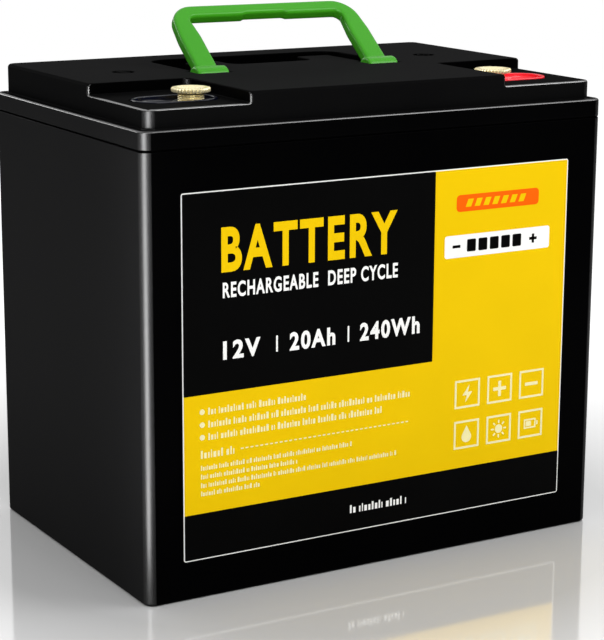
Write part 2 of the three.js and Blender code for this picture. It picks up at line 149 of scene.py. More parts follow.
def inset_case(inset, radius, z):
    outline = rounded_rectangle(
        inset - half_width, half_width - inset, inset - half_depth, half_depth - inset, radius
    )
    return at_height(outline, z)


def quarter(steps=4):
    """Sine and cosine pairs over a quarter turn, for round edges."""
    angles = [math.pi / 2 * i / steps for i in range(steps + 1)]
    return [(math.sin(angle), math.cos(angle)) for angle in angles]


def drawn_in(inset, z):
    """A ring of the case's plan whose corners stay concentric as it is drawn in."""
    return inset_case(inset, corner_radius - inset, z)


def lower_edge(radius, z):
    """Rings of a rounded edge that opens from z to the full plan."""
    return [drawn_in(radius * (1 - s), z + radius * (1 - c)) for s, c in quarter()]


def upper_edge(radius, z):
    """Rings of a rounded edge that closes in from the full plan to z."""
    return [drawn_in(radius * (1 - c), z - radius + radius * s) for s, c in quarter()]


def revolve(name, profile, centre, segments, closed=False, shape=None):
    """Turns (radius, height) points about the vertical through centre.

    shape(angle, radius) may alter a radius.
    """
    bm = bmesh.new()
    rings = []
    for radius, height in profile:
        ring = []
        for i in range(segments):
            angle = 2 * math.pi * i / segments
            reach = shape(angle, radius) if shape else radius
            place = (reach * math.cos(angle), reach * math.sin(angle), height - centre[2])
            ring.append(bm.verts.new(place))
        rings.append(ring)
    pairs = list(zip(rings, rings[1:]))
    if closed:
        pairs.append((rings[-1], rings[0]))
    else:
        bm.faces.new(list(reversed(rings[0])))
        bm.faces.new(rings[-1])
    for lower, upper in pairs:
        for i in range(segments):
            j = (i + 1) % segments
            bm.faces.new((lower[i], lower[j], upper[j], upper[i]))
    made = object_of(name, bm)
    made.location = centre
    return made


def applied(target):
    """Applies every modifier of target to its mesh."""
    bpy.context.view_layer.update()
    graph = bpy.context.evaluated_depsgraph_get()
    mesh = bpy.data.meshes.new_from_object(target.evaluated_get(graph))
    target.modifiers.clear()
    target.data = mesh


def combine(target, tool, operation="DIFFERENCE"):
    modifier = target.modifiers.new("combine", "BOOLEAN")
    modifier.operation = operation
    modifier.solver = "EXACT"
    modifier.object = tool
    applied(target)
    bpy.data.objects.remove(tool)


def cylinder(name, radius, x, y, z0, z1):
    return revolve(name, [(radius, z0), (radius, z1)], (x, y, 0), 48)


def smooth(target, angle):
    mesh = target.data
    for face in mesh.polygons:
        face.use_smooth = True
    mesh.set_sharp_from_angle(angle=math.radians(angle))


def round_edges(target, width):
    modifier = target.modifiers.new("round", "BEVEL")
    modifier.width = width
    modifier.segments = 3
    modifier.limit_method = "ANGLE"
    modifier.angle_limit = math.radians(32)
    modifier.use_clamp_overlap = False
    modifier.harden_normals = False
    applied(target)


def finish_piece(target, material, body, *nodes, slot=None, angle=32, accents=()):
    """Gives a piece its shading, material and body.

    Each accent is a material and a rule that picks its faces; a later accent wins.
    """
    smooth(target, angle)
    weights = target.modifiers.new("weights", "WEIGHTED_NORMAL")
    weights.keep_sharp = True
    applied(target)
    target.data.materials.clear()
    target.data.materials.append(material)
    for number, (accent, picks) in enumerate(accents, 1):
        target.data.materials.append(accent)
        for face in target.data.polygons:
            if picks(face):
                face.material_index = number
    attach(target, body)
    if nodes:
        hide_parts(*nodes)
    return target


# ---- Materials ----
def fill(node, **values):
    """Sets a node's inputs; an underscore in a name stands for a space."""
    for key, value in values.items():
        node.inputs[key.replace("_", " ")].default_value = value


class Nodes:
    """A small helper round one material's node tree."""

    def __init__(self, name):
        self.material = bpy.data.materials.new(name)
        self.material.use_nodes = True
        self.tree = self.material.node_tree
        self.shader = self.tree.nodes["Principled BSDF"]
        self.place = self.add("ShaderNodeTexCoord").outputs["Object"]

    def add(self, kind, **values):
        node = self.tree.nodes.new(kind)
        for key, value in values.items():
            setattr(node, key, value)
        return node

    def link(self, source, target):
        self.tree.links.new(source, target)

    def set(self, **values):
        fill(self.shader, **values)

    def noise(self, scale, detail=3.0, stretch=(1, 1, 1), distortion=0.0):
        node = self.add("ShaderNodeTexNoise")
        fill(node, Scale=scale, Detail=detail, Distortion=distortion)
        mapping = self.add("ShaderNodeMapping")
        fill(mapping, Scale=stretch)
        self.link(self.place, mapping.inputs["Vector"])
        self.link(mapping.outputs["Vector"], node.inputs["Vector"])
        return node.outputs["Fac"]

    def spread(self, source, low, high, start=0.3, end=0.7):
        node = self.add("ShaderNodeMapRange")
        fill(node, From_Min=start, From_Max=end, To_Min=low, To_Max=high)
        self.link(source, node.inputs["Value"])
        return node.outputs["Result"]

    def blend(self, factor, low, high):
        node = self.add("ShaderNodeMix", data_type="RGBA")
        node.inputs[6].default_value = (*low, 1)
        node.inputs[7].default_value = (*high, 1)
        self.link(factor, node.inputs[0])
        return node.outputs[2]

    def colour(self, factor, low, high):
        """Links a mix of two colours to the base colour."""
        self.link(self.blend(factor, low, high), self.shader.inputs["Base Color"])

    def roughness(self, factor):
        self.link(factor, self.shader.inputs["Roughness"])

    def maximum(self, first, second):
        node = self.add("ShaderNodeMath", operation="MAXIMUM")
        self.link(first, node.inputs[0])
        self.link(second, node.inputs[1])
        return node.outputs[0]

    def bump(self, *layers):
        """Each layer is (height, strength, distance)."""
        previous = None
        for height, strength, distance in layers:
            node = self.add("ShaderNodeBump")
            fill(node, Strength=strength, Distance=distance)
            self.link(height, node.inputs["Height"])
            if previous:
                self.link(previous, node.inputs["Normal"])
            previous = node.outputs["Normal"]
        self.link(previous, self.shader.inputs["Normal"])


def moulded_plastic(name, colour, worn, roughness, specular, grain=0.12, coat=0.0, ior=1.5):
    """Moulded plastic: fine spark grain, slow mould waviness, faint rub marks and patchy gloss."""
    nodes = Nodes(name)
    patches = nodes.noise(14, 4)
    rubs = nodes.noise(60, 6, (1, 6, 1), 1.5)
    nodes.colour(nodes.spread(patches, 0, 1), colour, worn)
    gloss = nodes.maximum(
        nodes.spread(patches, roughness * 0.9, roughness * 1.12),
        nodes.spread(rubs, 0, roughness * 1.35, 0.62, 0.8),
    )
    nodes.roughness(gloss)
    nodes.set(Specular_IOR_Level=specular, IOR=ior, Coat_Weight=coat, Coat_Roughness=0.12)
    nodes.bump(
        (nodes.noise(2600, 2), grain, 0.04 * MM),
        (nodes.noise(70, 2), 0.05, 0.4 * MM),
    )
    return nodes.material


def turned_metal(name, colour, tarnish, roughness, rings=True, metallic=1.0):
    """Lathe-turned metal: concentric tool marks, small scratches and slight tarnish."""
    nodes = Nodes(name)
    stains = nodes.noise(260, 5)
    scratches = nodes.noise(900, 3, (1, 9, 1), 0.6)
    nodes.colour(nodes.spread(stains, 0, 1, 0.42, 0.75), colour, tarnish)
    nodes.roughness(nodes.spread(stains, roughness * 0.8, roughness * 1.35))
    nodes.set(Metallic=metallic)
    layers = [(scratches, 0.08, 0.02 * MM)]
    if rings:
        wave = nodes.add("ShaderNodeTexWave", wave_type="RINGS", rings_direction="Z")
        fill(wave, Scale=1100, Distortion=0.4)
        nodes.link(nodes.place, wave.inputs["Vector"])
        layers.append((wave.outputs["Fac"], 0.05, 0.02 * MM))
    nodes.bump(*layers)
    return nodes.material


def printed_film(name, colour, faded, roughness=0.34):
    """Ink on a plastic film: a faint orange-peel surface, dust and slight ink unevenness."""
    nodes = Nodes(name)
    ink = nodes.noise(30, 5)
    specks = nodes.noise(1400, 2)
    nodes.colour(nodes.spread(ink, 0, 1), colour, faded)
    nodes.roughness(nodes.spread(ink, roughness * 0.9, roughness * 1.15))
    nodes.set(Specular_IOR_Level=0.02)
    nodes.bump((specks, 0.06, 0.02 * MM), (nodes.noise(90, 2), 0.04, 0.2 * MM))
    return nodes.material


def soft_matter(name, colour, other, scale, roughness=0.9, depth=0.4):
    """Rubber, foam, paper or board: grainy colour and a rough, pitted surface."""
    nodes = Nodes(name)
    cells = nodes.noise(scale, 5)
    nodes.colour(nodes.spread(cells, 0, 1), colour, other)
    nodes.roughness(nodes.spread(cells, roughness * 0.85, min(roughness * 1.1, 1)))
    nodes.bump((cells, depth, 0.2 * MM))
    return nodes.material


def black_plastic(name, levels, blues, *finish):
    """Black moulded plastic; each pair is fresh and worn, and blue is a little above the level."""
    (fresh, worn), (fresh_blue, worn_blue) = levels, blues
    return moulded_plastic(name, (fresh, fresh, fresh_blue), (worn, worn, worn_blue), *finish)


# The mouldings: plain walls, dull ledges, grained top and sides, and worn edges. The ledges, top and sides are
# painted light: they are lighter copies of the black plastic than the front. The grooves of the marks are painted
# shade.
case_black = black_plastic("case_black", (0.0002, 0.0005), (0.0003, 0.0006), 0.36, 0.006)
lid_black = black_plastic("lid_black", (0.0004, 0.0008), (0.0005, 0.0009), 0.36, 0.007)
# Painted light: a lighter base on the ledges, well floors and the raised block's outer walls than on the black
# front.
dull_black_painted_light = black_plastic("dull_black_painted_light", (0.0027, 0.0036), (0.0028, 0.0037), 0.6, 0.003)
# Painted light: a lighter base on the lid's top than on the black front; its coarser grain is real.
grained_top_painted_light = black_plastic("grained_top_painted_light", (0.0076, 0.0096), (0.0078, 0.0098), 0.7, 0.005, 0.3)
# Painted light: a lighter base on the side walls than on the black front; its coarser grain is real.
grained_side_painted_light = black_plastic("grained_side_painted_light", (0.009, 0.011), (0.0092, 0.0112), 0.6, 0.004, 0.3)
# Painted shade: a near-black base in the grooves of the polarity marks.
mark_painted_shade = black_plastic("mark_painted_shade", (0.0002, 0.0004), (0.0002, 0.0004), 0.7, 0.002, 0.05)
bright_lip = black_plastic("bright_lip", (0.005, 0.008), (0.0052, 0.0083), 0.26, 1, 0.03, 0, 2)
bright_rim = black_plastic("bright_rim", (0.004, 0.007), (0.0042, 0.0073), 0.24, 1, 0.03)
rubbed_corner = black_plastic("rubbed_corner", (0.0006, 0.001), (0.0007, 0.0011), 0.42, 0.1, 0.03)
rubbed_edge = black_plastic("rubbed_edge", (0.002, 0.004), (0.002, 0.004), 0.42, 0.25, 0.03)

# The other finishes.
handle_green = moulded_plastic(
    "handle_green", (0.036, 0.27, 0.008), (0.045, 0.3, 0.01), 0.24, 0.22, grain=0.04
)
red_plastic = moulded_plastic(
    "red_plastic", (0.83, 0.008, 0.022), (0.9, 0.012, 0.03), 0.28, 0.4, grain=0.04, coat=0.3
)
navy_plastic = moulded_plastic(
    "navy_plastic", (0.0012, 0.0022, 0.008), (0.0018, 0.003, 0.011), 0.2, 0.3, grain=0.04, coat=0.08
)
brass = turned_metal("brass", (1.0, 0.9, 0.56), (0.9, 0.74, 0.38), 0.26, metallic=0.5)
plated_steel = turned_metal("plated_steel", (0.6, 0.6, 0.62), (0.45, 0.45, 0.46), 0.3, rings=False)
tinned_copper = turned_metal("tinned_copper", (0.75, 0.45, 0.3), (0.6, 0.3, 0.18), 0.3, rings=False)
extruded_aluminium = turned_metal(
    "extruded_aluminium", (0.7, 0.7, 0.72), (0.55, 0.55, 0.57), 0.36, rings=False
)
seal_rubber = soft_matter(
    "seal_rubber", (0.012, 0.015, 0.016), (0.02, 0.024, 0.026), 1800, 0.6, 0.15
)
foam = soft_matter("foam", (0.16, 0.16, 0.165), (0.24, 0.24, 0.24), 900, 0.95, 0.9)
insulation = soft_matter("insulation_board", (0.78, 0.72, 0.58), (0.85, 0.8, 0.68), 500, 0.75, 0.2)
inner_plastic = moulded_plastic("inner_plastic", (0.14, 0.15, 0.16), (0.18, 0.19, 0.2), 0.5, 0.4)
cell_wrap = printed_film("cell_wrap", (0.02, 0.12, 0.36), (0.03, 0.15, 0.42), 0.4)
circuit_board = printed_film("circuit_board", (0.01, 0.13, 0.04), (0.015, 0.17, 0.06), 0.4)
connector_plastic = moulded_plastic(
    "connector_plastic", (0.8, 0.78, 0.7), (0.86, 0.84, 0.76), 0.45, 0.4
)
red_lead = soft_matter("red_lead", (0.4, 0.008, 0.012), (0.48, 0.012, 0.016), 700, 0.5, 0.1)
black_lead = soft_matter("black_lead", (0.012, 0.012, 0.013), (0.02, 0.02, 0.021), 700, 0.5, 0.1)
film_white = printed_film("film_white", (0.78, 0.78, 0.76), (0.84, 0.84, 0.82))
ink_yellow = printed_film("ink_yellow", (0.72, 0.47, 0.0012), (0.75, 0.49, 0.0016))
ink_black = printed_film("ink_black", (0.0006, 0.0006, 0.0006), (0.001, 0.001, 0.001), 0.42)
ink_white = printed_film("ink_white", (0.78, 0.78, 0.76), (0.84, 0.84, 0.82))
ink_pale = printed_film("ink_pale", (0.78, 0.72, 0.36), (0.82, 0.76, 0.42))
ink_orange = printed_film("ink_orange", (0.8, 0.1, 0.0015), (0.82, 0.12, 0.003))


# ---- Case ----
def slanting(face):
    """True for the faces of a rounded edge, which look along no axis."""
    return max(abs(value) for value in face.normal) < 0.985 and face.area < 200 * MM * MM


def make_case():
    wall, floor = 3 * MM, 3.5 * MM
    ledge = seam - 1.5 * MM
    rings = lower_edge(0.9 * MM, 0) + upper_edge(seam_edge, seam)
    rings += [inset_case(wall / 2, 3 * MM, seam), inset_case(wall / 2, 3 * MM, ledge)]
    rings += [inset_case(wall, 2 * MM, ledge), inset_case(wall, 2 * MM, floor)]
    case = loft("case", rings)
    clear = 0.3 * MM
    panel = rounded_rectangle(
        label_low.x - clear, label_high.x + clear,
        label_low.z - clear, label_high.z + clear, 1.2 * MM,
    )
    depths = (-half_depth - 2 * MM, label_high.y + clear)
    combine(case, loft("panel", [[(x, y, z) for x, z in panel] for y in depths]))
    for place in hook_places():
        low, high = lid_low.z + 0.1 * MM, lid_low.z + 2.9 * MM
        combine(case, hook_block("pocket", place, 2.6 * MM, 12.7 * MM, low, high))
    accents = ((grained_side_painted_light, side_wall_painted_light), (rubbed_corner, upright_corner))
    finish_piece(case, case_black, "battery", "case_shell", slot="case_plastic", accents=accents)


def side_wall_painted_light(face):
    """True on the outside walls of the case and flange, except the glossy front. These faces get a lighter base
    than the front: painted light.
    """
    x, y = abs(face.center.x), face.center.y
    outside = x > half_width - upper_inset - MM or y > half_depth - upper_inset - MM
    below_block = face.center.z < flange_top
    return outside and below_block and face.normal.y > -0.5 and abs(face.normal.z) < 0.3


def upright_corner(face):
    """True on the rounded upright corners, where two walls meet."""
    x, y, z = (abs(value) for value in face.normal)
    return slanting(face) and z < 0.3 and min(x, y) > 0.15


def hook_places():
    """The centre of each of the lid's snap hooks, and whether it is on a left or right wall."""
    x, y, along = half_width - 3.4 * MM, half_depth - 3.4 * MM, 55 * MM
    return [(side * x, 0, True) for side in (-1, 1)] + [
        (end * along, side * y, False) for side in (-1, 1) for end in (-1, 1)
    ]


def hook_block(name, place, reach, length, low, high):
    """A block at a hook's place: the hook itself, or its slightly larger pocket in the case."""
    x, y, at_side = place
    half_x, half_y = (reach / 2, length / 2) if at_side else (length / 2, reach / 2)
    plan = rounded_rectangle(x - half_x, x + half_x, y - half_y, y + half_y, 0.2 * MM, 2)
    return loft(name, [at_height(plan, low), at_height(plan, high)])


# ---- Lid ----
def handle_outline(grow, back, steps=10):
    """The U of the folded handle, grown for the recess, in x and y."""
    outer_x = leg_x + leg_width / 2 + grow
    inner_x = leg_x - leg_width / 2 - grow
    inner_y = handle_reach - bar_width / 2 - grow
    outer_r = 9 * MM + grow
    inner_r = max(2.5 * MM - grow, 0.6 * MM)
    front = -2 * MM
    arcs = (
        (outer_x - outer_r, back - outer_r, outer_r, 0, 90),
        (outer_r - outer_x, back - outer_r, outer_r, 90, 180),
    )
    inner_arcs = (
        (inner_r - inner_x, inner_y - inner_r, inner_r, 180, 90),
        (inner_x - inner_r, inner_y - inner_r, inner_r, 90, 0),
    )

    def arc(x, y, radius, start, end):
        angles = [math.radians(start + (end - start) * i / steps) for i in range(steps + 1)]
        return [(x + radius * math.cos(angle), y + radius * math.sin(angle)) for angle in angles]

    points = [(outer_x, front)]
    for values in arcs:
        points += arc(*values)
    points += [(-outer_x, front), (-inner_x, front)]
    for values in inner_arcs:
        points += arc(*values)
    points.append((inner_x, front))
    return points


def sunk(name, outline, floor, edge=0.5 * MM, lip=0.45 * MM):
    """A cutting tool with a filleted floor edge and a rim that flares out.

    outline(grow) gives its plan.
    """
    rings = [at_height(outline(edge * (s - 1)), floor + edge * (1 - c)) for s, c in quarter()]
    rings += [at_height(outline(lip * (1 - c)), platform - lip + lip * s) for s, c in quarter()]
    rings.append(at_height(outline(lip), platform + 3 * MM))
    return loft(name, rings)


def well_outline(side):
    """The plan of a terminal's well, which is open at the front and the side."""

    def outline(grow):
        low, high = sorted((side * (well_inner_x - grow), side * (half_width + 4 * MM)))
        return rounded_rectangle(low, high, -half_depth - 4 * MM, well_back_y + grow, 3 * MM + grow)

    return outline


def stadium(radius, x, y, stretch, steps=20):
    """A long round-ended plan that runs along X from its first centre by stretch."""
    far, near = max(x, x + stretch), min(x, x + stretch)
    ends = ((far, -90), (near, 90))
    return [
        (centre + radius * math.cos(angle), y + radius * math.sin(angle))
        for centre, start in ends
        for angle in (math.radians(start + 180 * i / steps) for i in range(steps + 1))
    ]


def foot_pocket(x):
    """A cutting tool for the round seat of one of the handle's feet."""
    radius = foot_radius + 0.4 * MM
    half = foot_length / 2 + 0.4 * MM
    lip = 0.4 * MM
    lower = [math.radians(180 + 180 * i / 24) for i in range(25)]
    section = [(radius * math.cos(angle), hinge.z + radius * math.sin(angle)) for angle in lower]
    wide = radius + lip
    mouth = [(radius, platform - lip), (wide, platform + lip), (wide, platform + 3 * MM)]
    section += mouth + [(-y, z) for y, z in reversed(mouth)]
    return loft("foot_pocket", [[(end, y, z) for y, z in section] for end in (x - half, x + half)])


def uncut_lid():
    """The lip inside the case, the flange and the raised block with its small bevel."""
    levels = [
        (5.4, 1, platform - 10 * MM),
        (5.4, 1, lid_low.z),
        (3.4, 2, lid_low.z),
        (3.4, 2, lid_base),
        (1.4, 2.6, lid_base),
        (1.4, 2.6, seam + 0.03 * MM),
        (0.8, 3.2, seam + 0.03 * MM),
        (0.8, 3.2, lid_base),
    ]
    rings = [inset_case(inset * MM, radius * MM, z) for inset, radius, z in levels]
    rings += lower_edge(seam_edge, lid_base) + upper_edge(0.9 * MM, flange_top)
    foot = 0.4 * MM
    rings += [
        inset_case(upper_inset - foot * (1 - s), corner_radius, flange_top + foot * (1 - c))
        for s, c in quarter(3)
    ]
    soft = 0.35 * MM
    bevel = platform - shoulder
    block_radius = corner_radius - bevel
    rings += [
        inset_case(upper_inset, corner_radius, shoulder - soft),
        inset_case(upper_inset + soft * 0.25, corner_radius - soft * 0.2, shoulder - soft * 0.3),
        inset_case(upper_inset + soft * 0.7, corner_radius - soft * 0.7, shoulder + soft * 0.6),
        inset_case(upper_inset + bevel - soft * 0.6, block_radius, platform - soft * 0.7),
        inset_case(upper_inset + bevel + soft * 0.1, block_radius, platform - soft * 0.2),
        inset_case(upper_inset + bevel + soft, block_radius - soft, platform),
    ]
    return loft("lid_cover", rings)


def cut_recess(lid):
    """The recess for the folded handle, and the deeper pocket for the fingers behind its bar."""
    finger_half, finger_front, finger_radius = 18 * MM, 17 * MM, 5 * MM

    def recess(grow):
        return handle_outline(recess_clear + grow, recess_back + grow)

    def pocket(grow):
        return rounded_rectangle(
            -finger_half - grow, finger_half + grow, finger_front - grow, recess_back + grow,
            finger_radius + grow,
        )

    combine(lid, sunk("handle_recess", recess, recess_floor))
    combine(lid, sunk("finger_pocket", pocket, recess_floor - 2.3 * MM, 1.2 * MM))


def cut_seats(lid, side):
    """The seats of one polarity plate, its terminal's neck and one foot of the handle."""
    x = side * terminal_x
    seat = stadium(dish_radius + 0.3 * MM, x, terminal_y, side * dish_stretch)
    heights = (plate_low.z - 0.3 * MM, platform + 2 * MM)
    combine(lid, loft("dish", [at_height(seat, z) for z in heights]))
    combine(lid, cylinder("neck_hole", neck_hole_radius, x, terminal_y, seam, platform))
    combine(lid, foot_pocket(side * leg_x))


def engrave_mark(lid, side):
    """A ring round a minus or plus, engraved with flared edges."""
    flare, sign_flare = 0.45 * MM, 0.25 * MM
    floor = platform - mark_depth
    inner = mark_radius - mark_line
    edge = quarter(3)
    groove = [(inner, floor), (mark_radius, floor)]
    groove += [(mark_radius + flare * (1 - c), platform - flare * (1 - s)) for s, c in edge]
    groove += [(mark_radius + flare, platform + MM), (inner - flare, platform + MM)]
    groove += [(inner - flare * (1 - c), platform - flare * (1 - s)) for s, c in reversed(edge)]
    combine(lid, revolve("mark", groove, (side * mark_x, mark_y, 0), 64, closed=True))
    for outline in sign_outlines(side):
        rings = [at_height(outline(0), floor)]
        rings += [
            at_height(outline(-sign_flare * (1 - c)), platform - sign_flare * (1 - s))
            for s, c in edge
        ]
        rings.append(at_height(outline(-sign_flare), platform + MM))
        combine(lid, loft("sign", rings))


def make_lid():
    lid = uncut_lid()
    for side in (-1, 1):
        combine(lid, sunk("well", well_outline(side), well_floor))
    cut_recess(lid)
    for side in (-1, 1):
        cut_seats(lid, side)
    round_edges(lid, 0.8 * MM)
    for side in (-1, 1):
        engrave_mark(lid, side)
    for place in hook_places():
        low, high = lid_low.z + 0.5 * MM, lid_low.z + 2.5 * MM
        combine(lid, hook_block("hook", place, 1.8 * MM, 12 * MM, low, high), "UNION")
    accents = (
        (dull_black_painted_light, dull_face_painted_light),
        (grained_top_painted_light, top_painted_light),
        (grained_side_painted_light, side_wall_painted_light),
        (rubbed_corner, lid_corner),
        (bright_rim, lid_rim),
        (bright_lip, lid_lip),
        (rubbed_edge, well_end),
        (mark_painted_shade, mark_groove_painted_shade),
    )
    finish_piece(lid, lid_black, "battery", "lid", slot="lid_plastic", accents=accents)


def sign_outlines(side):
    """The bars of a terminal's minus or plus, as functions of how far they are drawn in."""
    half, thin = 2.1 * MM, 0.5 * MM

    def bar(half_x, half_y):
        return lambda inset: rounded_rectangle(
            side * mark_x - half_x + inset, side * mark_x + half_x - inset,
            mark_y - half_y + inset, mark_y + half_y - inset, 0.3 * MM, 3,
        )

    return [bar(half, thin)] if side < 0 else [bar(half, thin), bar(thin, half)]


def dull_face_painted_light(face):
    """Ledges, well floors and the outer walls of the raised block; the recess stays black. These faces get a
    lighter base: painted light.
    """
    x, y, z = abs(face.center.x), abs(face.center.y), face.center.z
    inset = upper_inset + MM
    outside = x > half_width - inset or y > half_depth - inset
    sunken = x < well_inner_x - 2 * MM and flange_top + MM < z < platform - MM and not outside
    return z > lid_base and not sunken and (face.normal.z > 0.25 or outside and z > flange_top)


# The lid's top faces, which get a lighter base as painted light.
def top_painted_light(face):
    return face.center.z > platform - 0.1 * MM and face.normal.z > 0.95


def mark_groove_painted_shade(face):
    """The grooves of the polarity marks, which get a near-black base: painted shade."""
    x, y, z = face.center
    near = math.hypot(abs(x) - mark_x, y - mark_y) < mark_radius + 0.5 * MM
    sunken = z < platform - 0.01 * MM or face.normal.z < 0.9
    return near and sunken and z > platform - MM


def lid_corner(face):
    """The lid's outer upright corners and the inner one of each well."""
    x, y, z = abs(face.center.x), face.center.y, face.center.z
    by_well = x > well_inner_x - 2 * MM and y < well_back_y + 2 * MM
    return upright_corner(face) and z > lid_base and (z < well_floor or by_well)


def well_end(face):
    """The upright edges where each well cuts the raised block's outer walls."""
    x, y, z = abs(face.center.x), face.center.y, face.center.z
    at_front = y < 5 * MM - half_depth and abs(x - well_inner_x) < 2 * MM
    at_side = x > half_width - 5 * MM and abs(y - well_back_y) < 2 * MM
    return upright_corner(face) and z > well_floor and (at_front or at_side)


def upper_outer_edge(face, reach):
    """True on rounded edges that face up, within reach of the raised block's outer walls."""
    x, y = abs(face.center.x), abs(face.center.y)
    outside = x > half_width - upper_inset - reach or y > half_depth - upper_inset - reach
    return outside and slanting(face) and face.normal.z > 0.3


def lid_rim(face):
    """The upper rim of the flange."""
    return upper_outer_edge(face, 1.2 * MM) and flange_top - MM < face.center.z < flange_top


def lid_lip(face):
    """The outer lip of each well floor."""
    at_floor = well_floor - 0.9 * MM < face.center.z < well_floor + 0.1 * MM
    return upper_outer_edge(face, 1.4 * MM) and at_floor


# ---- Terminals ----
def serrated(angle, radius):
    """Draws the disc's rim in between its teeth."""
    if radius < disc_radius - 0.6 * MM:
        return radius
    tooth = abs(((angle * disc_teeth / (2 * math.pi)) % 1) - 0.5) * 2
    return radius - 0.55 * MM * max(0, min(1, (tooth - 0.25) * 2))


def make_terminal(x, charge):
    """A grooved brass neck under a serrated disc with a grooved bore."""
    disc_base = disc_top - 1.7 * MM
    rim = 0.3 * MM
    neck_pitch, neck_groove = 0.75 * MM, 0.45 * MM
    bore_pitch, bore_groove = 0.8 * MM, 0.35 * MM
    profile = [(bore_radius * 0.5, terminal_low.z), (neck_radius - 0.5 * MM, terminal_low.z)]
    z = terminal_low.z + 0.4 * MM
    while z < disc_base - 0.6 * MM:
        profile += [(neck_radius, z), (neck_radius - neck_groove, z + neck_pitch / 2)]
        z += neck_pitch
    profile += [
        (neck_radius - neck_groove, disc_base),
        (disc_radius - 0.7 * MM, disc_base),
        (disc_radius - rim, disc_base + 0.05 * MM),
        (disc_radius, disc_base + rim),
        (disc_radius, disc_top - rim),
        (disc_radius - rim, disc_top - 0.05 * MM),
        (disc_radius - 0.75 * MM, disc_top),
        (bore_radius + 2.9 * MM, disc_top),
        (bore_radius + 2.6 * MM, disc_top - 0.12 * MM),
        (bore_radius + 0.6 * MM, disc_top - 0.9 * MM),
    ]
    z = disc_top - 1.2 * MM
    while z > terminal_low.z + 4 * MM:
        profile += [(bore_radius, z), (bore_radius + bore_groove, z - bore_pitch / 2)]
        z -= bore_pitch
    profile.append((bore_radius * 0.4, z))
    centre = (x, terminal_y, disc_top)
    terminal = revolve(f"brass_terminal_{charge}", profile, centre, disc_teeth * 6, shape=serrated)
    finish_piece(terminal, brass, "battery", f"terminal_{charge}", slot="brass", angle=40)


def make_dish(side, x, charge, plastic, slot):
    """A polarity plate: a long dish with a rounded lip and a hollow floor, holed for the neck."""
    top = plate_high.z
    wall, lip, hollow = 1.2 * MM, 0.35 * MM, 1.5 * MM

    def ring(radius, z):
        return at_height(stadium(radius, x, terminal_y, side * dish_stretch), z)

    rings = [ring(dish_radius, plate_low.z), ring(dish_radius, top - lip)]
    rings += [ring(dish_radius - lip * (1 - c), top - lip + lip * s) for s, c in quarter(3)[1:]]
    rings += [ring(dish_radius - wall + lip * (1 - s), top - lip * (1 - c)) for s, c in quarter(3)]
    rings += [
        ring(dish_radius - wall - hollow * (1 - c), dish_floor + hollow * (1 - s))
        for s, c in quarter()
    ]
    dish = loft(f"polarity_dish_{charge}", rings)
    heights = (plate_low.z - MM, top + 2 * MM)
    combine(dish, cylinder("hole", neck_hole_radius, x, terminal_y, *heights))
    finish_piece(dish, plastic, "battery", f"polarity_plate_{charge}", slot=slot)


def make_seal(x, charge):
    """A rubber collar round the neck."""
    inner = neck_radius + 0.3 * MM
    outer = (seal_high.x - seal_low.x) / 2
    middle, half = (inner + outer) / 2, (outer - inner) / 2
    mid_z, half_z = (seal_low.z + seal_high.z) / 2, (seal_high.z - seal_low.z) / 2
    angles = [2 * math.pi * i / 16 for i in range(16)]
    section = [(middle + half * math.cos(a), mid_z + half_z * math.sin(a)) for a in angles]
    seal = revolve(f"seal_ring_{charge}", section, (x, terminal_y, mid_z), 72, closed=True)
    node = f"terminal_seal_{charge}"
    finish_piece(seal, seal_rubber, "battery", node, slot="seal_rubber", angle=80)


def make_terminals():
    for side, charge, plastic, plate_slot in (
        (-1, "negative", navy_plastic, "navy_plastic"),
        (1, "positive", red_plastic, "red_plastic"),
    ):
        x = side * terminal_x
        make_terminal(x, charge)
        make_dish(side, x, charge, plastic, plate_slot)
        make_seal(x, charge)


# ---- Handle ----
def handle_path(steps=12):
    """The centre line of the U, from the right foot round to the left one, square on."""
    radius = 6.4 * MM
    bar_half, leg_length = leg_x - radius, handle_reach - radius
    leg_rows, bar_rows = 14, 25
    points = [(leg_x, leg_length * i / leg_rows) for i in range(leg_rows)]
    for i in range(steps + 1):
        angle = math.pi / 2 * i / steps
        points.append((bar_half + radius * math.cos(angle), leg_length + radius * math.sin(angle)))
    right = points + [(bar_half * (1 - i / bar_rows), handle_reach) for i in range(1, bar_rows + 1)]
    return right + [(-x, y) for x, y in reversed(right[:-1])]


def handle_bow():
    """The U itself: wide legs, a narrower bar, and a shallow relief under the middle of the bar."""
    path = [Vector((x, y, 0)) for x, y in handle_path()]
    turn = Matrix.Translation(hinge) @ Matrix.Rotation(math.radians(90 - handle_lean), 4, "X")
    relief_half, relief = 9 * MM, 0.7 * MM
    taper_start = 0.6
    thick = handle_thickness / 2
    rings = []
    for i, point in enumerate(path):
        along = (path[min(i + 1, len(path) - 1)] - path[max(i - 1, 0)]).normalized()
        outward = Vector((along.y, -along.x, 0))
        share = (point.y - handle_reach * taper_start) / (handle_reach * (1 - taper_start))
        width = leg_width + (bar_width - leg_width) * min(max(share, 0), 1)
        thin = relief if abs(point.x) < relief_half else 0
        half = width / 2
        section = rounded_rectangle(thin - half, half, -thick, thick, 1.25 * MM, 5)
        rings.append([
            turn @ (point + outward * across + Vector((0, 0, depth))) for across, depth in section
        ])
    return loft("carrying_handle", rings)


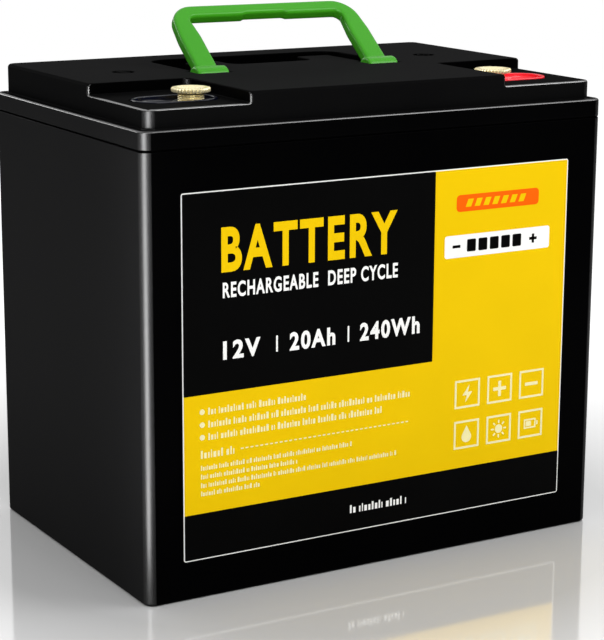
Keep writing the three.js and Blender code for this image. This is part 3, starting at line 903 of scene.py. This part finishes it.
def handle_foot(side):
    """A rounded barrel with a trunnion pin at each end."""
    half, lip = foot_length / 2, 0.6 * MM
    pin_radius, pin_length = 1.6 * MM, 2 * MM
    profile = [(-half - pin_length, pin_radius), (-half, pin_radius), (-half, foot_radius - lip)]
    profile += [(-half + lip * (1 - c), foot_radius - lip + lip * s) for s, c in quarter()]
    profile += [(-x, radius) for x, radius in reversed(profile)]
    turns = [2 * math.pi * k / 48 for k in range(48)]
    return loft("foot", [
        [
            (side * leg_x + x, hinge.y + radius * math.cos(a), hinge.z + radius * math.sin(a))
            for a in turns
        ]
        for x, radius in profile
    ])


def make_handle():
    handle = handle_bow()
    for side in (-1, 1):
        combine(handle, handle_foot(side), "UNION")
    remesh = handle.modifiers.new("remesh", "REMESH")
    remesh.mode = "VOXEL"
    remesh.voxel_size = 0.34 * MM
    relax = handle.modifiers.new("relax", "SMOOTH")
    relax.factor = 0.5
    relax.iterations = 5
    applied(handle)
    finish_piece(handle, handle_green, "handle", "handle", slot="handle_plastic", angle=80)


# ---- Front label: a white film with printed layers, each a hair prouder than the last ----
film_front = label_low.y + 0.2 * MM
layer_step = 0.045 * MM


def on_label(x, y):
    """Millimetres right and down from the label's top left corner, to metres in x and z."""
    return label_low.x + x * MM, label_high.z - y * MM


def box_outline(left, right, top, bottom, radius=0.3):
    """A rounded box; all sizes on the label are in label millimetres."""
    return rounded_rectangle(left, right, top, bottom, radius, 4)


def slab(bm, outline, front, back):
    """Adds a flat closed shape to a layer."""
    places = [on_label(x, y) for x, y in outline]
    fore = [bm.verts.new((x, front, z)) for x, z in places]
    rear = [bm.verts.new((x, back, z)) for x, z in places]
    bm.faces.new(fore)
    bm.faces.new(list(reversed(rear)))
    for i in range(len(fore)):
        j = (i + 1) % len(fore)
        bm.faces.new((fore[i], rear[i], rear[j], fore[j]))


def frame_outlines(left, right, top, bottom, line):
    """Four bars of a square outline."""
    return [
        box_outline(left, right, top, top + line, 0.1),
        box_outline(left, right, bottom - line, bottom, 0.1),
        box_outline(left, left + line, top + line, bottom - line, 0.1),
        box_outline(right - line, right, top + line, bottom - line, 0.1),
    ]


def lettering(text, left, right, top, bottom, weight, front, back):
    """Plain block lettering fitted to a box; returns its mesh."""
    curve = bpy.data.curves.new("lettering", "FONT")
    curve.body = text
    curve.offset = weight
    curve.space_character = 1 + 6 * weight
    curve.extrude = 0.5
    curve.resolution_u = 6
    word = bpy.data.objects.new("lettering", curve)
    bpy.context.scene.collection.objects.link(word)
    bpy.context.view_layer.update()
    graph = bpy.context.evaluated_depsgraph_get()
    mesh = bpy.data.meshes.new_from_object(word.evaluated_get(graph))
    bpy.data.objects.remove(word)
    xs = [v.co.x for v in mesh.vertices]
    ys = [v.co.y for v in mesh.vertices]
    for v in mesh.vertices:
        across = left + (v.co.x - min(xs)) / (max(xs) - min(xs)) * (right - left)
        down = bottom - (v.co.y - min(ys)) / (max(ys) - min(ys)) * (bottom - top)
        x, z = on_label(across, down)
        v.co = (x, front if v.co.z > 0 else back, z)
    return mesh


def ink(name, layer, material, outlines, words=()):
    """One printed layer of flat shapes; each word is (text, left, right, top, bottom, weight)."""
    front = film_front - layer * layer_step
    back = film_front + 0.05 * MM
    bm = bmesh.new()
    for outline in outlines:
        slab(bm, outline, front, back)
    bmesh.ops.recalc_face_normals(bm, faces=bm.faces)
    for word in words:
        bm.from_mesh(lettering(*word, front, back))
    piece = object_of(name, bm)
    return finish_piece(piece, material, "battery", angle=20)


def small_print(left, right, bottom, height, first=0):
    """A line of unreadable print: little blocks in word-like groups, some of them taller."""
    words = (7, 3, 9, 4, 6, 10, 2, 8, 5)
    tall = (1, 0.7, 0.72, 0.98, 0.7, 0.7, 1, 0.72)
    wide = (0.24, 0.34, 0.2, 0.14, 0.38, 0.28)
    outlines = []
    x, word, letter = left, first, 0
    while True:
        for _ in range(words[word % len(words)]):
            width = wide[letter % len(wide)] * height
            if x + width > right:
                return outlines
            top = bottom - tall[letter % len(tall)] * height
            outlines.append([(x, top), (x + width, top), (x + width, bottom), (x, bottom)])
            x += width + 0.2 * height
            letter += 1
        x += 0.3 * height
        word += 1


def disc_outline(x, y, radius, steps=24):
    angles = [2 * math.pi * i / steps for i in range(steps)]
    return [(x + radius * math.cos(angle), y + radius * math.sin(angle)) for angle in angles]


def pictograms():
    """Six plain signs in square frames: bolt, plus, minus, drop, sun and battery."""
    shapes = []
    lefts = (115, 130, 145)
    tops = (81, 97)
    size_x, size_y = 11.5, 11
    for top in tops:
        for left in lefts:
            shapes += frame_outlines(left, left + size_x, top, top + size_y, 0.8)
    centres = [(left + size_x / 2, top + size_y / 2) for top in tops for left in lefts]
    arm, half = 3, 0.65
    x, y = centres[0]
    bolt = ((0.9, -3.4), (-2.2, 0.6), (-0.2, 0.6), (-0.9, 3.4), (2.2, -0.6), (0.2, -0.6))
    shapes.append([(x + dx, y + dy) for dx, dy in bolt])
    x, y = centres[1]
    quadrant = ((-arm, -half), (-half, -half), (-half, -arm))
    plus = []
    for _ in range(4):
        plus += [(x + dx, y + dy) for dx, dy in quadrant]
        quadrant = [(-dy, dx) for dx, dy in quadrant]
    shapes.append(plus)
    x, y = centres[2]
    shapes.append(box_outline(x - arm, x + arm, y - half, y + half, 0.1))
    x, y = centres[3]
    belly = [math.radians(-25 + 230 * i / 20) for i in range(21)]
    drop = [(x, y - 3.4)] + [(x + 2.2 * math.cos(a), y + 1 + 2.2 * math.sin(a)) for a in belly]
    shapes.append(drop)
    x, y = centres[4]
    shapes.append(disc_outline(x, y, 1.7))
    ray = ((2.3, -0.3), (3.5, -0.3), (3.5, 0.3), (2.3, 0.3))
    for number in range(8):
        spin = Matrix.Rotation(math.pi * number / 4, 2)
        shapes.append([tuple(Vector((x, y)) + spin @ Vector(corner)) for corner in ray])
    x, y = centres[5]
    shapes += frame_outlines(x - 3, x + 2.6, y - 1.9, y + 1.9, 0.6)
    shapes.append(box_outline(x + 2.9, x + 3.6, y - 0.8, y + 0.8, 0.1))
    shapes.append(box_outline(x - 2.1, x + 0.4, y - 1.0, y + 1.0, 0.1))
    return shapes


def print_badges():
    """The orange badge with its stripes, and the white box with its charge gauge."""
    ink("label_badge", 3, ink_orange, [box_outline(114, 151.5, 10, 16.3, 1.5)])
    stripe = ((1.2, 11.7), (3.6, 11.7), (2.4, 14.6), (0, 14.6))
    stripes = [[(left + x, y) for x, y in stripe] for left in range(118, 146, 4)]
    ink("label_badge_stripes", 4, ink_yellow, stripes)
    ink("label_box", 3, ink_white, [box_outline(109, 157, 25, 33.5, 1)])
    minus = [box_outline(112.5, 116, 28.7, 29.8, 0.1)]
    cells = [box_outline(x, x + 4, 26.9, 31.6, 0.5) for x in (119, 124.2, 129.4, 134.6, 139.8)]
    plus = [box_outline(147.6, 151.1, 28.7, 29.8, 0.1), box_outline(148.8, 149.9, 27.5, 31, 0.1)]
    ink("label_gauge", 4, ink_black, minus + cells + plus)


def print_white():
    """The sub-title, the ratings with their dividers, and the line at the foot."""
    top, bottom, weight = 53.6, 60.4, 0.036
    words = [
        ("RECHARGEABLE  DEEP CYCLE", 16, 88.5, 32.6, 38.2, 0.028),
        ("12V", 16, 31, top, bottom, weight),
        ("20Ah", 43, 62, top, bottom, weight),
        ("240Wh", 72.5, 98.5, top, bottom, weight),
    ]
    dividers = [box_outline(37.4, 38.1, 54, 60), box_outline(67.2, 67.9, 54, 60)]
    foot_line = small_print(69, 95.5, 125.6, 3.1, 6)
    ink("label_white_print", 3, ink_white, dividers + foot_line, words)


def print_small():
    """Three bulleted lines, a short heading, a dashed rule and four finer lines."""
    small = []
    for bottom, right in ((79.4, 51), (84.1, 95), (88.7, 83)):
        small.append(disc_outline(7.6, bottom - 1.2, 1.0))
        small += small_print(10, right, bottom, 2.5, len(small))
    small += small_print(7, 21.5, 95.2, 2.9)
    small += [[(x, 93.5), (x + 1.1, 93.5), (x + 1.1, 93.9), (x, 93.9)] for x in range(23, 95, 2)]
    for bottom, right in ((99.6, 70), (102.8, 47), (106, 89), (109.1, 31)):
        small += small_print(7, right, bottom, 1.8, len(small))
    ink("label_small_print", 3, ink_pale, small)


def make_label():
    width = (label_high.x - label_low.x) / MM
    height = (label_high.z - label_low.z) / MM
    border = 0.42
    panel_right, panel_bottom, strip_top = 104.5, 72, 115.5
    bm = bmesh.new()
    slab(bm, rounded_rectangle(0, width, 0, height, 0.9), film_front, label_high.y)
    film = object_of("label_film", bm)
    finish_piece(film, film_white, "battery", "front_label", slot="label_film", angle=20)
    ink("label_yellow", 1, ink_yellow, [[
        (panel_right - 1, border), (width - border, border), (width - border, strip_top + 1),
        (border, strip_top + 1), (border, panel_bottom - 1), (panel_right - 1, panel_bottom - 1),
    ]])
    ink("label_black", 2, ink_black, [
        box_outline(border, panel_right, border, panel_bottom, 0.4),
        box_outline(border, width - border, strip_top, height - border, 0.4),
    ])
    ink("label_title", 3, ink_yellow, [], [("BATTERY", 15.5, 88, 13, 29, 0.033)])
    print_badges()
    print_white()
    print_small()
    ink("label_signs", 3, ink_pale, pictograms())


# ---- The CAD nodes inside the case keep their shapes and get their finish ----
def dress_inner_nodes():
    looks = dict(
        seal_rubber=seal_rubber,
        brass=brass,
        plated_steel=plated_steel,
        copper=tinned_copper,
        inner_plastic=inner_plastic,
        insulation=insulation,
        foam=foam,
        circuit_board=circuit_board,
        aluminium=extruded_aluminium,
        connector_plastic=connector_plastic,
        cell_can=cell_wrap,
        red_lead=red_lead,
        black_lead=black_lead,
    )
    for part in frame["record"]["subparts"]:
        node = frame["nodes"].get(part["node"])
        look = looks.get(part["material_slot"])
        if node and look and not node.hide_render:
            node.data.materials.clear()
            node.data.materials.append(look)


# ---- Camera, floor and light ----
def make_camera():
    azimuth, elevation, roll = math.radians(-30.375), math.radians(13.212), math.radians(0.268)
    place = Vector((-2.024, -3.48, 1.356)) * (2 * half_width)
    back = Vector((
        math.sin(azimuth) * math.cos(elevation),
        -math.cos(azimuth) * math.cos(elevation),
        math.sin(elevation),
    ))
    level = Vector((0, 0, 1)).cross(back).normalized()
    rise = back.cross(level)
    right = math.cos(roll) * level + math.sin(roll) * rise
    up = math.cos(roll) * rise - math.sin(roll) * level
    data = bpy.data.cameras.new("camera")
    data.sensor_width = 36
    data.lens = 115.05
    data.clip_start = 0.01
    data.clip_end = 20
    camera = bpy.data.objects.new("camera", data)
    bpy.context.scene.collection.objects.link(camera)
    turn = Matrix((right, up, back)).transposed().to_4x4()
    camera.matrix_world = Matrix.Translation(place) @ turn
    bpy.context.scene.camera = camera


def make_floor():
    """A glossy white floor, shaded under the battery and glowing white a little way out."""
    bm = bmesh.new()
    bmesh.ops.create_grid(bm, x_segments=1, y_segments=1, size=1.2)
    floor = object_of("floor", bm)
    floor.location.z = -0.2 * MM
    look = Nodes("floor_white")
    look.set(Base_Color=(0.68, 0.68, 0.68, 1), Roughness=0.07, Specular_IOR_Level=0.6)
    look.set(Metallic=0.25, Emission_Color=(1, 1, 1, 1))
    distance = look.add("ShaderNodeVectorMath", operation="LENGTH")
    look.link(look.place, distance.inputs[0])
    glow = look.spread(distance.outputs["Value"], 0, 0.8, 0.13, 0.34)
    look.link(glow, look.shader.inputs["Emission Strength"])
    floor.data.materials.append(look.material)


def area_light(name, direction, distance, size, radiance, target=(0, 0, 0.1)):
    """A soft box seen from target in the given direction, equally bright at any size."""
    data = bpy.data.lights.new(name, "AREA")
    data.shape = "RECTANGLE"
    data.size, data.size_y = size
    data.energy = radiance * math.pi * size[0] * size[1]
    light = bpy.data.objects.new(name, data)
    bpy.context.scene.collection.objects.link(light)
    toward = Vector(direction).normalized()
    light.location = Vector(target) + toward * distance
    light.rotation_euler = toward.to_track_quat("Z", "Y").to_euler()
    light.visible_camera = False
    return light


def light_only(light, *pieces):
    """Makes a light fall on these pieces alone."""
    receivers = bpy.data.collections.new(light.name + "_receivers")
    for piece in pieces:
        receivers.objects.link(bpy.data.objects[piece])
    light.light_linking.receiver_collection = receivers


def make_sky():
    """White to the camera; to the object it is dark near the horizon and bright higher up."""
    world = bpy.data.worlds.new("studio")
    bpy.context.scene.world = world
    world.use_nodes = True
    tree = world.node_tree
    tree.nodes.clear()
    new = tree.nodes.new
    place = new("ShaderNodeTexCoord")
    axes = new("ShaderNodeSeparateXYZ")
    rise = new("ShaderNodeMapRange")
    rise.interpolation_type = "SMOOTHSTEP"
    dark, bright = math.radians(11), math.radians(19)
    fill(rise, From_Min=math.sin(dark), From_Max=math.sin(bright), To_Min=0.045, To_Max=0.9)
    path = new("ShaderNodeLightPath")
    seen = new("ShaderNodeBackground")
    around = new("ShaderNodeBackground")
    mix = new("ShaderNodeMixShader")
    output = new("ShaderNodeOutputWorld")
    for source, target in (
        (place.outputs["Generated"], axes.inputs["Vector"]),
        (axes.outputs["Z"], rise.inputs["Value"]),
        (rise.outputs["Result"], around.inputs["Strength"]),
        (path.outputs["Is Camera Ray"], mix.inputs[0]),
        (around.outputs[0], mix.inputs[1]),
        (seen.outputs[0], mix.inputs[2]),
        (mix.outputs[0], output.inputs["Surface"]),
    ):
        tree.links.new(source, target)
    for background in (seen, around):
        fill(background, Color=(1, 1, 1, 1))


def make_light():
    """Three soft boxes, a strip for the near edges and a low fill for the handle."""
    make_sky()
    area_light("key", (-0.2, -0.9, 0.6), 1.2, (0.8, 0.6), 3.3)
    area_light("right_box", (0.5, -0.45, 0.72), 0.9, (0.4, 0.4), 4.5)
    area_light("back_box", (-0.44, 0.85, 0.27), 1.0, (0.7, 0.14), 5.0)
    near_corner = (-half_width, -half_depth, 0.095)
    strip = area_light("corner_strip", (-0.862, -0.507, 0), 0.05, (0.03, 0.2), 90, near_corner)
    light_only(strip, "case", "lid_cover")
    strip.visible_diffuse = False
    low = area_light("handle_fill", (-0.2, -0.95, -0.1), 0.45, (0.3, 0.2), 5.0, (0, 0.01, 0.19))
    light_only(low, "carrying_handle")
    view = bpy.context.scene.view_settings
    view.view_transform = "Standard"
    view.look = "None"


make_camera()
make_floor()
make_case()
make_lid()
make_terminals()
make_handle()
make_label()
dress_inner_nodes()
make_light()
